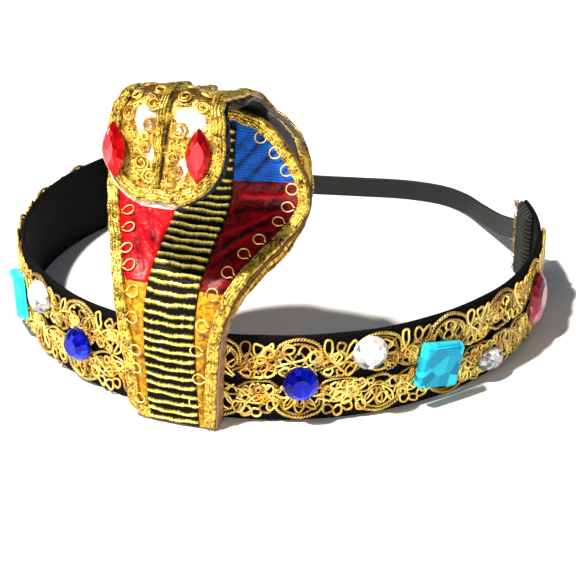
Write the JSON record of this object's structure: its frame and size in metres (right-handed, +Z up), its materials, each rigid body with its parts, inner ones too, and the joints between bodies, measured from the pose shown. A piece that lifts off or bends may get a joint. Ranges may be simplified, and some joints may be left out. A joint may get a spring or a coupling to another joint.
{
  "type": "snake headband",
  "caption": "Costume headband with a rearing hooded cobra in gold brocade, satin and braid on a lace-trimmed black band set with faceted stones, closed behind by elastic.",
  "frame": {"origin": "under the middle of the whole, on the surface that it stands on", "axes": "+Z up, the cobra faces -Y, +X to the viewer's right when it faces the viewer"},
  "size_m": [0.1834, 0.1936, 0.0999],
  "materials": {
    "tape": "matte woven black twill",
    "elastic": "matte ribbed black elastic",
    "lace": "shiny twisted gold metallic thread",
    "brocade": "gold foil brocade with a soft metallic shine",
    "lining": "matte dark grey-blue lining",
    "braid": "plaited gold metallic braid",
    "board": "stiff brown interfacing",
    "belly_ribbon": "black ribbon with raised gold ribs",
    "gold_satin": "amber gold satin",
    "red_satin": "creased red satin",
    "blue_cloth": "woven blue cloth",
    "red_stone": "faceted red acrylic",
    "blue_stone": "faceted blue acrylic",
    "clear_stone": "faceted clear acrylic with a mirror back",
    "turquoise_stone": "step-cut turquoise acrylic",
    "rose_stone": "faceted rose acrylic"
  },
  "bodies": {
    "root": {"band_backing": "tape", "end_hem_left": "tape", "end_hem_right": "tape", "elastic_strap": "elastic", "trim_upper": "lace", "trim_lower": "lace", "hood_back_and_head": "brocade", "head_lining": "lining", "head_edge_braid": "braid", "head_centre_braid": "braid", "hood_edge_braid": "braid", "hood_front": "board", "belly_strip": "belly_ribbon", "panel_gold_left": "gold_satin", "panel_red_left": "red_satin", "panel_blue_left": "blue_cloth", "eye_left": "red_stone", "stone_blue_round_left": "blue_stone", "stone_clear_round_left": "clear_stone", "stone_turquoise_square_left": "turquoise_stone", "stone_clear_oval_left": "clear_stone", "stone_rose_oval_left": "rose_stone", "panel_gold_right": "gold_satin", "panel_red_right": "red_satin", "panel_blue_right": "blue_cloth", "eye_right": "red_stone", "stone_blue_round_right": "blue_stone", "stone_clear_round_right": "clear_stone", "stone_turquoise_square_right": "turquoise_stone", "stone_clear_oval_right": "clear_stone", "stone_rose_oval_right": "rose_stone"}
  },
  "joints": []
}
